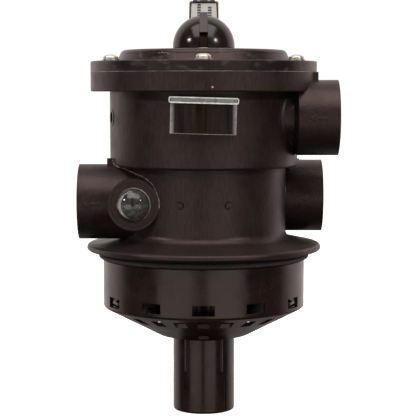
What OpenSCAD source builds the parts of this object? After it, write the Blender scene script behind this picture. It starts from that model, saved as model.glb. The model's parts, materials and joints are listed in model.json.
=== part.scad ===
// Top-mount multiport valve for a pool or spa sand filter.
//
// Frame: millimetres, +Z up along the valve's axis, -Y towards the window and the
// sight glass. The origin is on the axis, at the top of the tank-neck cylinder.
// Pressing the handle lifts the rotor off its gasket, and then the handle turns it.

/* [Body] */
// Outside diameter of the upper body, round the rotor
upper_d = 149.6; // [145:0.2:180]
// Height of the upper body, from its shoulder to its flange
upper_h = 59.4; // [57:0.2:72]
// Outside diameter of the lower body, round the six channels
lower_d = 131; // [126:0.5:140]
// Height of the lower body, from the tank seat to the shoulder
lower_h = 74; // [72:0.5:90]
// Wall of both bodies
body_wall = 5; // [4:0.5:6]
// Thickness of the plate that carries the rotor's gasket
seat_t = 6; // [5:0.5:8]
// How far the top flange stands out from the upper body
flange_lip = 15.2; // [14:0.2:20]
// Thickness of the body's half of the top flange
body_flange_t = 15.2; // [14:0.2:18]
// How far the tank flange stands out from the lower body
tank_lip = 28; // [26:0.5:34]
// Thickness of the webs between the channels
web_t = 4; // [3:0.5:5]

/* [Ports] */
// Outside diameter of the three pipe sockets
socket_od = 59; // [58:0.5:62]
// Bore of the pipe sockets
socket_bore_d = 48.4; // [47:0.1:50]
// Depth of the pipe sockets
socket_depth = 30; // [25:1:34]
// Bore of the waterways behind the sockets
waterway_d = 38; // [34:1:40]
// Height of the pump port above the shoulder
pump_rise = 39; // [36:0.5:39]
// Place of the pump port in front of the axis
pump_y = -22.4; // [-24:0.2:-18]
// How far the pump port reaches past the upper body
pump_reach = 30.2; // [29:0.2:40]
// Height of the waste port's axis
waste_z = 47; // [46:0.5:48]
// Place of the waste port in front of the axis
waste_y = -19; // [-21:0.5:-17]
// How far the waste port reaches past the lower body
waste_reach = 32.4; // [31:0.2:40]
// Height of the return port's axis
return_z = 47.5; // [46:0.5:48]
// Place of the return port behind the axis
return_y = 40; // [38:0.5:42]
// How far the return port reaches past the lower body
return_reach = 31.7; // [31:0.2:40]
// Drilling of the gauge port
gauge_bore_d = 8.7; // [8:0.1:10]

/* [Lid] */
// Thickness of the lid's flange
lid_flange_t = 8.6; // [8:0.2:12]
// Height of the raised disc on the lid
lid_disc_h = 8.9; // [8:0.1:12]
// Diameter of the raised disc at its foot
lid_disc_d = 138.5; // [132:0.5:142]
// Number of lid screws
screw_count = 6; // [4:1:8]
// Thread diameter of the lid screws
screw_d = 6; // [5:0.5:6]
// Length of the lid screws under the head
screw_len = 20; // [16:1:22]

/* [Window and sight glass] */
// Width of the clear window cover
window_w = 49.6; // [44:0.2:54]
// Height of the clear window cover
window_h = 27.4; // [24:0.2:30]
// Turn of the window in its plane
window_lean = 1.6; // [0:0.1:2]
// Diameter of the sight glass
glass_d = 26.4; // [24:0.2:28]
// Diameter of the sight glass boss on the waste port
glass_boss_d = 39.6; // [38:0.1:41]

/* [Rotor and spring] */
// Diameter of the rotor
rotor_d = 122; // [112:1:128]
// Thickness of the rotor's plate
rotor_t = 12; // [10:0.5:13]
// Diameter of the stem
stem_d = 16; // [15:0.5:17]
// Wire of the compression spring
wire_d = 3; // [2.4:0.1:3.4]
// Working turns of the compression spring
spring_turns = 5; // [4:1:5]

/* [Handle] */
// Diameter of the handle's round hub
hub_d = 49.2; // [46:0.2:54]
// Diameter of the handle's pin
pin_d = 6; // [5:0.5:7]
// Width of the lever
lever_w = 24; // [22:0.5:28]
// Length of the lever from the pin to its tip
lever_len = 57; // [54:1:75]
// Slope of the lever at rest
lever_slope = 33; // [30:1:36]
// How far the lever presses down
press_angle = 28; // [20:1:28]

/* [Tank side] */
// Diameter of the cylinder that enters the tank's neck
neck_d = 161.2; // [158:0.2:164]
// Height of that cylinder
neck_h = 37.5; // [35:0.5:42]
// Wall of the diffuser
diffuser_wall = 2.8; // [2.4:0.1:3.4]
// Outside diameter of the centre tube
tube_d = 49.4; // [48:0.2:50]
// Bore of the centre tube, for the filter's standpipe
tube_bore_d = 42.6; // [41:0.2:43]
// Length of the centre tube below the diffuser's foot
tube_drop = 60.5; // [50:0.5:70]

/* [Hidden] */
$fn = 96;

black_plastic = [0.11, 0.09, 0.085];
black_rubber = [0.06, 0.06, 0.06];
stainless = [0.78, 0.78, 0.76];
brass = [0.75, 0.62, 0.35];
clear_plastic = [0.85, 0.88, 0.9, 0.4];
label_grey = [0.72, 0.72, 0.7];
white_acetal = [0.9, 0.9, 0.88];

cut = 1;              // how far a cutter runs past the face that it opens
run_gap = 0.3;        // between two faces that move past each other
fit_gap = 0.15;       // round a piece that is lowered into another
pin_gap = 0.05;       // round a shaft that turns in its bore
press_gap = 0.02;     // round a piece that stays where it is pushed
arc_steps = 10;       // flats in a quarter of a round edge

// Heights of the body and the lid
seat_z = lower_h + seat_t;
flange_z = lower_h + upper_h;
joint_z = flange_z + body_flange_t;
lid_z = joint_z + lid_flange_t;
disc_z = lid_z + lid_disc_h;

// Radii of the body
upper_r = upper_d / 2;
lower_r = lower_d / 2;
upper_bore_r = upper_r - body_wall;
lower_bore_r = lower_r - body_wall;
flange_r = upper_r + flange_lip;
rim_r = lower_r + tank_lip;
neck_r = neck_d / 2;
socket_r = socket_od / 2;
waterway_r = waterway_d / 2;
shoulder_round = 2.5;

// Tank flange: its rim, and the groove of its O-ring
seam = 0.6;
tank_ring_d = 4.2;
tank_groove_h = 5;
tank_groove_step = 0.6;
tank_groove_r = neck_r - tank_groove_step;
rim_z = 7.6;
rim_round = 2.4;
rim_rise = 4.8;
rim_slope = 12;
foot_fillet = 7;
rim_flat_r = rim_r - rim_round;
flat_foot_r = lower_r + foot_fillet * (1 - sin(rim_slope));
flat_foot_z = rim_z + rim_rise + (rim_flat_r - flat_foot_r) * tan(rim_slope);
fillet_z = flat_foot_z + foot_fillet * cos(rim_slope);

// Channels under the gasket: their webs, and what each one leads to
channel_count = 6;
channel_pitch = 360 / channel_count;
waste_channel = 198;
bottom_channel = waste_channel - 2 * channel_pitch;
top_channels = [waste_channel + channel_pitch, waste_channel + 2 * channel_pitch];
floor_t = 6;
hub_wall = 4;
tube_r = tube_d / 2;
hub_bore_r = tube_r + fit_gap;
hub_r = hub_bore_r + hub_wall;
seat_margin = 4;
bottom_hole_d = 28;

// Ports
pump_x = upper_r + pump_reach;
waste_x = lower_r + waste_reach;
return_x = lower_r + return_reach;
pump_z = lower_h + pump_rise;
pump_neck_wall = 4;
socket_floor = 2;
socket_chamfer = 1;
port_root = 0.5;      // how deep the ports start in the body, as a share of its radius
pump_way_in = 14;     // how far the waterways reach inside the body's bore
waste_way_in = 10;
return_way_turn = 45;
return_way_r = 15;
return_way_len = 0.55 * lower_r;
elbow_x = return_x - socket_depth - 1;

// Lugs and marks on the ports
lug_w = 6;
lug_back = 0.4;
pump_lug_t = 4.4;
waste_lug_t = 9;
waste_lug_out = 1.2;
waste_lug_h = 1;
gate_d = 1.6;
gate_in = 19;
arrow_len = 14;
arrow_w = 6;
arrow_proud = 0.5;
arrow_deep = 2;
mould_mark_d = 6;
mould_pin_d = 4.4;
mould_mark_deep = 0.9;
mould_mark_xs = [-18, 19];

// Gauge port
gauge_turn = 195;
gauge_boss_d = 14;
gauge_proud = 0.2;

// Lid screws and their inserts
screw_ring_r = upper_r + flange_lip / 2;
screw_r = screw_d / 2;
screw_clear = 0.3;
head_d = 2 * screw_d - 0.4;
head_h = 0.62 * screw_d;
head_edge_h = 1.2;
recess_w = 1.3;
recess_len = 0.55 * head_d;
recess_deep = 1.8;
washer_t = 0.9;
washer_d = head_d + 1.6;
insert_wall = 1.6;
insert_under = 2;
insert_len = screw_len - lid_flange_t + insert_under;
insert_r = screw_r + pin_gap + insert_wall;

// Lid: its shoulder, underside and O-ring
disc_foot_r = lid_disc_d / 2;
disc_draft = 2.6;
disc_round = 4.5;
disc_top_r = disc_foot_r - disc_draft;
lid_edge = 0.8;
lid_under = 1;        // how far the hollow under the lid reaches past the flange's top
plug_h = 9;
plug_wall = 4;
boss_wall = 6;
boss_drop = 18.6;
rib_t = 3;
rib_count = 6;
lid_ring_d = 2.8;
lid_ring_r = upper_bore_r + lid_ring_d / 2 + 1.4;
lid_groove_deep = lid_ring_d + 0.1;

// Label on the lid
label_t = 0.5;
label_in_r = 33;
label_out_r = 56;
label_marks = 6;
mark_len = 8;
mark_w = 1.6;

// Window, a clear box that stands out of the upper body's front
window_z = 115.4;
window_gasket_t = 0.7;
window_proud = 7;
window_front_t = 2;
window_side_t = 2.6;
window_floor_t = 1.4;
window_rim_h = 4.4;
window_rim_over = 1.2;
window_hole_in = 5;
window_back_r = upper_r + window_gasket_t + press_gap;
window_front_r = upper_r + window_proud;

// Sight glass on the waste port, facing the front
glass_x = -(lower_r - 11.7);
glass_r = glass_d / 2;
glass_boss_face_y = waste_y - 37;
glass_flange_t = 2.2;
glass_flange_lip = 2.2;
glass_wall = 2.4;
glass_round_r = glass_r + 2;
glass_ring_t = 2.4;
glass_ring_r = glass_r + 3.8;
glass_o_ring_d = 2;
glass_seat_depth = glass_ring_t + glass_flange_t + glass_o_ring_d + 0.1;
glass_way_d = 21;

// Gasket, rotor, washers and spring, from the bottom up
gasket_t = 2.6;
rotor_r = rotor_d / 2;
rotor_z = seat_z + gasket_t + run_gap;
rotor_pocket_deep = 8;
rotor_hub_d = 2 * stem_d;
rotor_hub_h = 8;
rotor_top_z = rotor_z + rotor_t + rotor_hub_h;
spring_washer_t = 1.5;
spring_in_gap = 4.6;
spring_r = stem_d / 2 + spring_in_gap;
spring_washer_r = spring_r + wire_d / 2 + 1.5;
boss_z = joint_z - boss_drop;
top_washer_z = boss_z - run_gap - spring_washer_t;
spring_foot_z = rotor_top_z + spring_washer_t + press_gap;
spring_head_z = top_washer_z - run_gap;
rotor_pin_d = 5;
rotor_pin_z = rotor_z + rotor_t + rotor_hub_h / 2;

// Stem and its bush
stem_r = stem_d / 2;
bush_wall = 3;
bush_r = stem_r + pin_gap + bush_wall;
bush_flange_t = 2;
bush_flange_r = bush_r + 3;
stem_foot = 3;
stem_ring_d = 1.7;
stem_ring_zs = [boss_z + 12, boss_z + 22];

// Handle: hub, rib, slot and lever
hub_r2 = hub_d / 2;
glide_t = 1.2;
hub_z = disc_z + run_gap + glide_t + run_gap;
hub_rise = 1.2;
hub_centre_z = hub_z + hub_rise;
pin_rise = 8.1;
pin_z = hub_z + pin_rise;
pin_r = pin_d / 2;
pin_len = hub_d - 8;
heel_r = 16;
heel_relief = 2;
blade_t = 5.8;
blade_r = sqrt(stem_r * stem_r - blade_t * blade_t / 4) - pin_gap;
blade_gap = 0.35;
slot_w = blade_t + 2 * blade_gap;
slot_top_z = hub_centre_z + 10.4;
slot_back = heel_r - 1.5;
slot_rise = 2;
shaft_top_z = pin_z - blade_r * cos(press_angle) - heel_r * sin(press_angle) + 0.3;
rib_w = 6.4;
rib_face = [[-24.4, 10.4], [-9.5, 26.6]];
lever_t = 8;
lever_start = 12;
lever_corner = 3;
frame_w = 1.2;
frame_h = 1;
bar_deep = 3.4;
bar_h = 2.6;
plate_t = 0.7;
plate_start = 24;
plate_taper = 1;
spine_w = 7;
spine_deep = 5;

// Diffuser and centre tube
spigot_h = 10;
spigot_wall = 3.4;
spigot_r = neck_r - diffuser_wall - fit_gap;
foot_r = tube_r + 1.6;
foot_z = -62.5;
foot_h = 0.8;
knee_r = foot_r + 10;
knee_z = foot_z + 1.5;
window_count = 12;
vent_w = 17;
vent_h = 8;
vent_top_z = -neck_h + 10.5;
outer_slot_count = 24;
outer_slot = [63, 74];
outer_slot_w = 9;
inner_slot_count = 6;
inner_slot = [38, 48];
inner_slot_w = 8;
tube_top_z = floor_t + 22;
tube_foot_z = foot_z - tube_drop;
tube_stop_z = -30;
tube_stop_r = tube_bore_d / 2 - 2;
tube_round = 2;
slit_w = 1.4;
slit_len = 29;
flute_d = 4.5;
flute_deep = 0.5;
flute_len = 26;
tube_ring_d = 2.4;
tube_ring_z = tube_top_z - 6;
ring_room = 0.6;      // half the height of a small O-ring's groove, as a share of its cord

// Points on an arc about [x, z], from one angle to another
function arc(x, z, r, from, to, steps = arc_steps) =
    [for (i = [0:steps]) let (a = from + (to - from) * i / steps) [x + r * cos(a), z + r * sin(a)]];

// One piece at each of count places round the axis, the first one at the front
module around(count, radius) {
    for (i = [0:count - 1])
        rotate(i * 360 / count - 90) translate([radius, 0, 0]) children();
}

// A round ring: radius to the middle of its cord, and the cord's diameter
module o_ring(radius, cord) {
    rotate_extrude() translate([radius, 0]) circle(d = cord);
}

// A flat ring standing on z = 0
module flat_ring(out_r, in_r, height) {
    rotate_extrude() translate([in_r, 0]) square([out_r - in_r, height]);
}

// A sector of a ring over one or more channels, centred on the angle, with a web left at each end
module wedge(angle, in_r, out_r, height, web, channels = 1) {
    margin = asin(min(0.9, web / (in_r + out_r)));
    span = channels * channel_pitch - 2 * margin;
    rotate(angle - span / 2) rotate_extrude(angle = span)
        translate([in_r, 0]) square([out_r - in_r, height]);
}

// A cylinder along +X from one place to another
module along_x(from_x, to_x, y, z, radius) {
    translate([from_x, y, z]) rotate([0, 90, 0]) cylinder(r = radius, h = to_x - from_x);
}

// A flat slice of the front wall of the upper body, between two radii
module front_box(in_r, out_r, width, height, rise = 0) {
    intersection() {
        translate([0, 0, window_z - window_h]) flat_ring(out_r, in_r, 2 * window_h);
        translate([0, -out_r / 2, window_z]) rotate([0, window_lean, 0])
            translate([0, 0, rise]) cube([width, out_r, height], center = true);
    }
}

// ---------------------------------------------------------------- valve body

module body_outline() {
    groove_top = seam + tank_groove_h;
    lip_r = tank_groove_r + tank_ring_d + 1.4;
    polygon(concat(
        [[0, seam], [tank_groove_r, seam], [tank_groove_r, groove_top], [lip_r, groove_top],
         [rim_r - 1, rim_z], [rim_r, rim_z + 1]],
        arc(rim_flat_r, rim_z + rim_rise - rim_round, rim_round, 0, 90 - rim_slope),
        arc(lower_r + foot_fillet, fillet_z, foot_fillet, 270 - rim_slope, 180),
        [[lower_r, lower_h]],
        arc(upper_r - shoulder_round, lower_h + shoulder_round, shoulder_round, 270, 360),
        [[upper_r, flange_z], [flange_r - lid_edge, flange_z], [flange_r, flange_z + lid_edge],
         [flange_r, joint_z], [0, joint_z]]
    ));
}

module pump_outside() {
    shoulder_x = pump_x - socket_depth - socket_floor;
    neck_r2 = waterway_r + pump_neck_wall;
    blend = socket_r - neck_r2;
    along_x(upper_r * port_root, shoulder_x + cut, pump_y, pump_z, neck_r2);
    translate([shoulder_x - blend / 2, pump_y, pump_z]) rotate([0, 90, 0])
        cylinder(r1 = neck_r2, r2 = socket_r, h = blend / 2);
    along_x(shoulder_x, pump_x, pump_y, pump_z, socket_r);
}

module ports_outside() {
    pump_outside();
    mirror([1, 0, 0]) along_x(lower_r * port_root, waste_x, waste_y, waste_z, socket_r);
    along_x(lower_r * port_root, return_x, return_y, return_z, socket_r);
}

// A pipe socket's bore with its chamfered mouth, and the waterway behind it
module socket_inside(end_x, way_x, y, z) {
    along_x(end_x - socket_depth, end_x + cut, y, z, socket_bore_d / 2);
    translate([end_x - socket_chamfer, y, z]) rotate([0, 90, 0])
        cylinder(r1 = socket_bore_d / 2, r2 = socket_bore_d / 2 + socket_chamfer + cut,
                 h = socket_chamfer + cut);
    along_x(way_x, end_x - socket_depth + cut, y, z, waterway_r);
}

module ports_inside() {
    socket_inside(pump_x, upper_bore_r - pump_way_in, pump_y, pump_z);
    mirror([1, 0, 0]) socket_inside(waste_x, lower_bore_r - waste_way_in, waste_y, waste_z);
    socket_inside(return_x, elbow_x, return_y, return_z);
    // The return's waterway turns towards the middle of its channel
    translate([elbow_x, return_y, return_z]) {
        sphere(r = waterway_r);
        rotate(return_way_turn) rotate([0, -90, 0]) cylinder(r = return_way_r, h = return_way_len);
    }
}

module channels() {
    for (i = [0:channel_count - 1])
        wedge_at(waste_channel + i * channel_pitch);
    for (angle = top_channels)
        translate([0, 0, seam - cut])
            wedge(angle, hub_r + seat_margin, lower_bore_r - seat_margin, floor_t + cut, 3 * web_t);
    rotate(bottom_channel) along_x(0, hub_r + cut, 0, waste_z + 2, bottom_hole_d / 2);
}

module wedge_at(angle) {
    translate([0, 0, floor_t])
        wedge(angle, hub_r, lower_bore_r, lower_h - floor_t, web_t);
    translate([0, 0, lower_h - cut])
        wedge(angle, hub_r + seat_margin, lower_bore_r - seat_margin, seat_t + 2 * cut, 3 * web_t);
}

module glass_boss() {
    translate([glass_x, glass_boss_face_y, waste_z]) rotate([-90, 0, 0])
        cylinder(d = glass_boss_d, h = waste_y - glass_boss_face_y);
}

module glass_seat() {
    seat_r = glass_ring_r + fit_gap;
    translate([glass_x, glass_boss_face_y - cut, waste_z]) rotate([-90, 0, 0]) {
        cylinder(r = seat_r, h = glass_seat_depth + cut);
        cylinder(d = glass_way_d, h = waste_y - glass_boss_face_y + cut);
    }
}

module gauge_boss() {
    rotate(gauge_turn) along_x(upper_bore_r + 1, upper_r + gauge_proud, 0, pump_z, gauge_boss_d / 2);
}

module lugs() {
    // On top of the pump socket, against the flange
    translate([flange_r - pump_lug_t - lug_back, pump_y - lug_w / 2, pump_z])
        cube([pump_lug_t, lug_w, joint_z - pump_z]);
    // Between the waste port and the upper body
    translate([-upper_r - waste_lug_out, waste_y - lug_w / 2, waste_z + waterway_r])
        cube([waste_lug_t, lug_w, seat_z - waste_z - waterway_r + waste_lug_h]);
    // Moulding gate on the return port
    translate([return_x - gate_in, return_y, return_z + socket_r - 1]) cylinder(d = gate_d, h = gate_d + 0.2);
}

// Two shallow round marks of the mould's pins on the lower body's front
module mould_marks() {
    for (x = mould_mark_xs)
        translate([x, -sqrt(lower_r * lower_r - x * x) - cut, waste_z]) rotate([-90, 0, 0])
            difference() {
                cylinder(d = mould_mark_d, h = cut + mould_mark_deep);
                cylinder(d = mould_pin_d, h = cut + mould_mark_deep);
            }
}

// A raised arrow on each port that shows which way the water goes
module arrow(length, width, height) {
    linear_extrude(height) polygon([
        [0, -width / 6], [length * 0.6, -width / 6], [length * 0.6, -width / 2], [length, 0],
        [length * 0.6, width / 2], [length * 0.6, width / 6], [0, width / 6]
    ]);
}

module flow_arrows() {
    height = arrow_deep + arrow_proud;
    translate([return_x - arrow_len - 10, return_y - socket_r + arrow_deep, return_z]) rotate([90, 0, 0])
        arrow(arrow_len, arrow_w, height);
    translate([pump_x - 10, pump_y - socket_r + arrow_deep, pump_z]) rotate([90, 180, 0])
        arrow(arrow_len, arrow_w, height);
    translate([-waste_x + arrow_len + 4, waste_y - socket_r + arrow_deep, waste_z]) rotate([90, 180, 0])
        arrow(arrow_len, arrow_w, height);
}

module valve_body() {
    color(black_plastic) difference() {
        union() {
            rotate_extrude() body_outline();
            translate([0, 0, -spigot_h]) flat_ring(spigot_r, spigot_r - spigot_wall, spigot_h + 2);
            ports_outside();
            glass_boss();
            gauge_boss();
            lugs();
            flow_arrows();
        }
        translate([0, 0, seat_z]) cylinder(r = upper_bore_r, h = joint_z);
        translate([0, 0, -cut]) cylinder(r = hub_bore_r, h = tube_top_z + 1 + cut);
        cylinder(r = tube_stop_r, h = lower_h - floor_t);
        channels();
        ports_inside();
        glass_seat();
        mould_marks();
        rotate(gauge_turn)
            along_x(upper_bore_r - cut, upper_r + gauge_proud + cut, 0, pump_z, gauge_bore_d / 2);
        front_box(upper_bore_r - cut, upper_r + cut, window_w - 2 * window_hole_in,
                  window_h - 2 * window_hole_in);
        translate([0, 0, joint_z - lid_groove_deep])
            flat_ring(lid_ring_r + lid_ring_d / 2 + fit_gap, lid_ring_r - lid_ring_d / 2 - fit_gap,
                      lid_groove_deep + cut);
        translate([0, 0, joint_z - insert_len]) around(screw_count, screw_ring_r)
            cylinder(r = insert_r + press_gap, h = insert_len + cut);
    }
}

module seat_gasket() {
    color(black_rubber) translate([0, 0, seat_z]) difference() {
        cylinder(r = lower_bore_r - 0.5, h = gasket_t);
        for (i = [0:channel_count - 1])
            translate([0, 0, -cut])
                wedge(waste_channel + i * channel_pitch, hub_r + seat_margin + 1,
                      lower_bore_r - seat_margin - 1, gasket_t + 2 * cut, 3 * web_t + 2);
    }
}

// ---------------------------------------------------------------------- lid

module lid_outline() {
    polygon(concat(
        [[0, joint_z], [flange_r, joint_z], [flange_r, lid_z - lid_edge], [flange_r - lid_edge, lid_z],
         [disc_foot_r, lid_z]],
        arc(disc_top_r - disc_round, disc_z - disc_round, disc_round, 10, 90),
        [[0, disc_z]]
    ));
}

module lid() {
    recess_top = lid_z + lid_under;
    boss_r = bush_r + boss_wall;
    plug_r = upper_bore_r - fit_gap;
    color(black_plastic) difference() {
        union() {
            difference() {
                union() {
                    rotate_extrude() lid_outline();
                    translate([0, 0, joint_z - plug_h]) cylinder(r = plug_r, h = plug_h + 1);
                }
                translate([0, 0, joint_z - plug_h - cut])
                    flat_ring(plug_r - plug_wall, boss_r, recess_top - joint_z + plug_h + cut);
            }
            translate([0, 0, boss_z]) cylinder(r = boss_r, h = lid_z - boss_z);
            for (i = [0:rib_count - 1]) rotate(i * 360 / rib_count)
                translate([boss_r - 2, -rib_t / 2, joint_z - plug_h])
                    cube([plug_r - plug_wall - boss_r + 4, rib_t, recess_top - joint_z + plug_h + cut]);
        }
        translate([0, 0, boss_z - cut]) cylinder(r = bush_r + press_gap, h = disc_z - boss_z + 2 * cut);
        translate([0, 0, disc_z - bush_flange_t - press_gap])
            cylinder(r = bush_flange_r + press_gap, h = bush_flange_t + cut);
        translate([0, 0, disc_z - label_t]) flat_ring(label_out_r, label_in_r, label_t + cut);
        around(screw_count, screw_ring_r) translate([0, 0, joint_z - cut])
            cylinder(r = screw_r + screw_clear, h = lid_flange_t + 2 * cut);
    }
}

module lid_o_ring() {
    color(black_rubber) translate([0, 0, joint_z - lid_groove_deep + lid_ring_d / 2 + press_gap])
        o_ring(lid_ring_r, lid_ring_d);
}

module pan_head_screw() {
    difference() {
        rotate_extrude() polygon(concat(
            [[0, -screw_len], [screw_r - 0.5, -screw_len], [screw_r, -screw_len + 0.5], [screw_r, 0],
             [head_d / 2, 0], [head_d / 2, head_edge_h]],
            [for (i = [1:6]) let (a = 90 * i / 6)
                [head_d / 2 * cos(a), head_edge_h + (head_h - head_edge_h) * sin(a)]]
        ));
        for (turn = [0, 90]) rotate(turn) translate([0, 0, head_h])
            cube([recess_len, recess_w, 2 * recess_deep], center = true);
    }
}

module lid_screws() {
    color(stainless) translate([0, 0, lid_z + washer_t]) around(screw_count, screw_ring_r) pan_head_screw();
}

module screw_washers() {
    color(stainless) translate([0, 0, lid_z]) around(screw_count, screw_ring_r)
        flat_ring(washer_d / 2, screw_r + screw_clear, washer_t);
}

module lid_inserts() {
    color(brass) translate([0, 0, joint_z - insert_len]) around(screw_count, screw_ring_r)
        flat_ring(insert_r, screw_r + pin_gap, insert_len);
}

// A thin ring let into the lid, with six raised bars at the six positions
module position_label() {
    color(black_plastic) {
        translate([0, 0, disc_z - label_t]) difference() {
            flat_ring(label_out_r - fit_gap, label_in_r + fit_gap, label_t);
            around(label_marks, label_out_r - mark_len - 3)
                translate([0, -mark_w / 2, label_t / 2]) cube([mark_len, mark_w, label_t]);
        }
    }
}

module stem_bush() {
    color(white_acetal) difference() {
        union() {
            translate([0, 0, boss_z]) cylinder(r = bush_r, h = disc_z - boss_z);
            translate([0, 0, disc_z - bush_flange_t]) cylinder(r = bush_flange_r, h = bush_flange_t);
        }
        translate([0, 0, boss_z - cut]) cylinder(r = stem_r + pin_gap, h = disc_z - boss_z + 2 * cut);
    }
}

// ---------------------------------------------------- window and sight glass

module window_gasket() {
    color(black_rubber) difference() {
        front_box(upper_r + press_gap, upper_r + window_gasket_t, window_w - 1, window_h - 1);
        front_box(upper_r - cut, upper_r + window_gasket_t + cut, window_w - 2 * window_hole_in + 2,
                  window_h - 2 * window_hole_in + 2);
    }
}

module window_cover() {
    hollow_h = window_h - window_rim_h - window_floor_t;
    color(clear_plastic) difference() {
        union() {
            front_box(window_back_r, window_front_r, window_w, window_h);
            front_box(window_back_r, window_front_r + window_rim_over, window_w + 2 * window_rim_over,
                      window_rim_h, (window_h - window_rim_h) / 2);
        }
        front_box(window_back_r - cut, window_front_r - window_front_t, window_w - 2 * window_side_t,
                  hollow_h, (window_floor_t - window_rim_h) / 2);
    }
}

// Places a piece on the sight glass's axis, with its own +Z pointing out of the boss
module at_glass(depth) {
    translate([glass_x, glass_boss_face_y + depth, waste_z]) rotate([90, 0, 0]) children();
}

module sight_glass() {
    neck_top = glass_flange_t + glass_ring_t + 1;
    bore_r = glass_r - glass_wall;
    inner_r = glass_round_r - glass_wall;
    centre_z = neck_top - sqrt(glass_round_r * glass_round_r - glass_r * glass_r);
    color(clear_plastic) at_glass(glass_ring_t + glass_flange_t) rotate_extrude() polygon(concat(
        [[bore_r, 0], [glass_r + glass_flange_lip, 0], [glass_r + glass_flange_lip, glass_flange_t],
         [glass_r, glass_flange_t]],
        arc(0, centre_z, glass_round_r, acos(glass_r / glass_round_r), 90, 2 * arc_steps),
        arc(0, centre_z, inner_r, 90, acos(bore_r / inner_r), 2 * arc_steps)
    ));
}

module sight_glass_o_ring() {
    color(black_rubber) at_glass(glass_ring_t + glass_flange_t + glass_o_ring_d / 2 + press_gap)
        o_ring(glass_r, glass_o_ring_d);
}

module sight_glass_ring() {
    color(black_plastic) at_glass(glass_ring_t)
        flat_ring(glass_ring_r, glass_r + press_gap, glass_ring_t);
}

// ---------------------------------------------------------------- tank side

module tank_o_ring() {
    color(black_rubber) translate([0, 0, seam + tank_ring_d / 2 + 0.2])
        o_ring(tank_groove_r + tank_ring_d / 2 + press_gap, tank_ring_d);
}

module diffuser_outline() {
    edge = arc(neck_r - 2.5, -neck_h + 1, 2.5, 0, -64, 6);
    polygon(concat(
        [[neck_r, 0]], edge,
        [[knee_r, knee_z], [foot_r + 1, foot_z], [foot_r, foot_z - foot_h],
         [tube_r + fit_gap, foot_z - foot_h], [tube_r + fit_gap, foot_z + 4],
         [foot_r + 2, foot_z + diffuser_wall], [knee_r + 0.6, knee_z + 1.15 * diffuser_wall],
         [neck_r - diffuser_wall - 1, -neck_h + 1], [neck_r - diffuser_wall, -neck_h + 3],
         [neck_r - diffuser_wall, 0]]
    ));
}

module diffuser() {
    color(black_plastic) difference() {
        rotate_extrude() diffuser_outline();
        around(window_count, neck_r - 6)
            translate([0, -vent_w / 2, vent_top_z - vent_h]) cube([10, vent_w, vent_h]);
        around(outer_slot_count, outer_slot[0])
            translate([0, -outer_slot_w / 2, foot_z]) cube([outer_slot[1] - outer_slot[0], outer_slot_w, neck_h]);
        around(inner_slot_count, inner_slot[0])
            translate([0, -inner_slot_w / 2, foot_z - cut]) cube([inner_slot[1] - inner_slot[0], inner_slot_w, neck_h]);
    }
}

module centre_tube() {
    bore_r = tube_bore_d / 2;
    ring_groove_r = tube_r - tube_ring_d + 0.1;
    room = tube_ring_d * ring_room;
    color(black_plastic) difference() {
        rotate_extrude() polygon(concat(
            [[bore_r, tube_foot_z]],
            arc(tube_r - tube_round, tube_foot_z + tube_round, tube_round, -90, 0),
            [[tube_r, tube_ring_z - room], [ring_groove_r, tube_ring_z - room],
             [ring_groove_r, tube_ring_z + room], [tube_r, tube_ring_z + room],
             [tube_r, tube_top_z], [tube_stop_r, tube_top_z], [tube_stop_r, tube_stop_z], [bore_r, tube_stop_z]]
        ));
        for (turn = [45:90:315]) rotate(turn)
            translate([tube_stop_r, -slit_w / 2, tube_foot_z - cut]) cube([10, slit_w, slit_len + cut]);
        for (turn = [-35, 35]) rotate(turn - 90)
            translate([tube_r + flute_d / 2 - flute_deep, 0, foot_z - foot_h - flute_len])
                cylinder(d = flute_d, h = flute_len);
    }
}

module tube_o_ring() {
    color(black_rubber) translate([0, 0, tube_ring_z])
        o_ring(tube_r - tube_ring_d / 2 + 0.12, tube_ring_d);
}

// ------------------------------------------------ washers, stem and rotor

module glide_washer() {
    color(white_acetal) translate([0, 0, disc_z + run_gap])
        flat_ring(hub_r2 - 1.6, stem_r + 1.5, glide_t);
}

module spring_washer() {
    color(stainless) translate([0, 0, top_washer_z])
        flat_ring(spring_washer_r, stem_r + run_gap, spring_washer_t);
}

module rotor_washer() {
    color(stainless) translate([0, 0, rotor_top_z + press_gap / 2])
        flat_ring(spring_washer_r, stem_r + press_gap, spring_washer_t);
}

module stem() {
    color(stainless) difference() {
        union() {
            translate([0, 0, rotor_z + stem_foot]) cylinder(r = stem_r, h = shaft_top_z - rotor_z - stem_foot);
            translate([-blade_t / 2, -blade_r, shaft_top_z - 1])
                cube([blade_t, 2 * blade_r, pin_z - shaft_top_z + 1]);
            translate([-blade_t / 2, 0, pin_z]) rotate([0, 90, 0]) cylinder(r = blade_r, h = blade_t);
        }
        along_x(-blade_t, blade_t, 0, pin_z, pin_r + press_gap);
        along_x(-stem_d, stem_d, 0, rotor_pin_z, rotor_pin_d / 2 + press_gap);
        for (z = stem_ring_zs) translate([0, 0, z - stem_ring_d * ring_room])
            flat_ring(stem_r + cut, stem_r - stem_ring_d, 2 * stem_ring_d * ring_room);
    }
}

module stem_o_rings() {
    color(black_rubber) for (z = stem_ring_zs) translate([0, 0, z])
        o_ring(stem_r - stem_ring_d / 2 + 0.02, stem_ring_d - 0.04);
}

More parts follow.
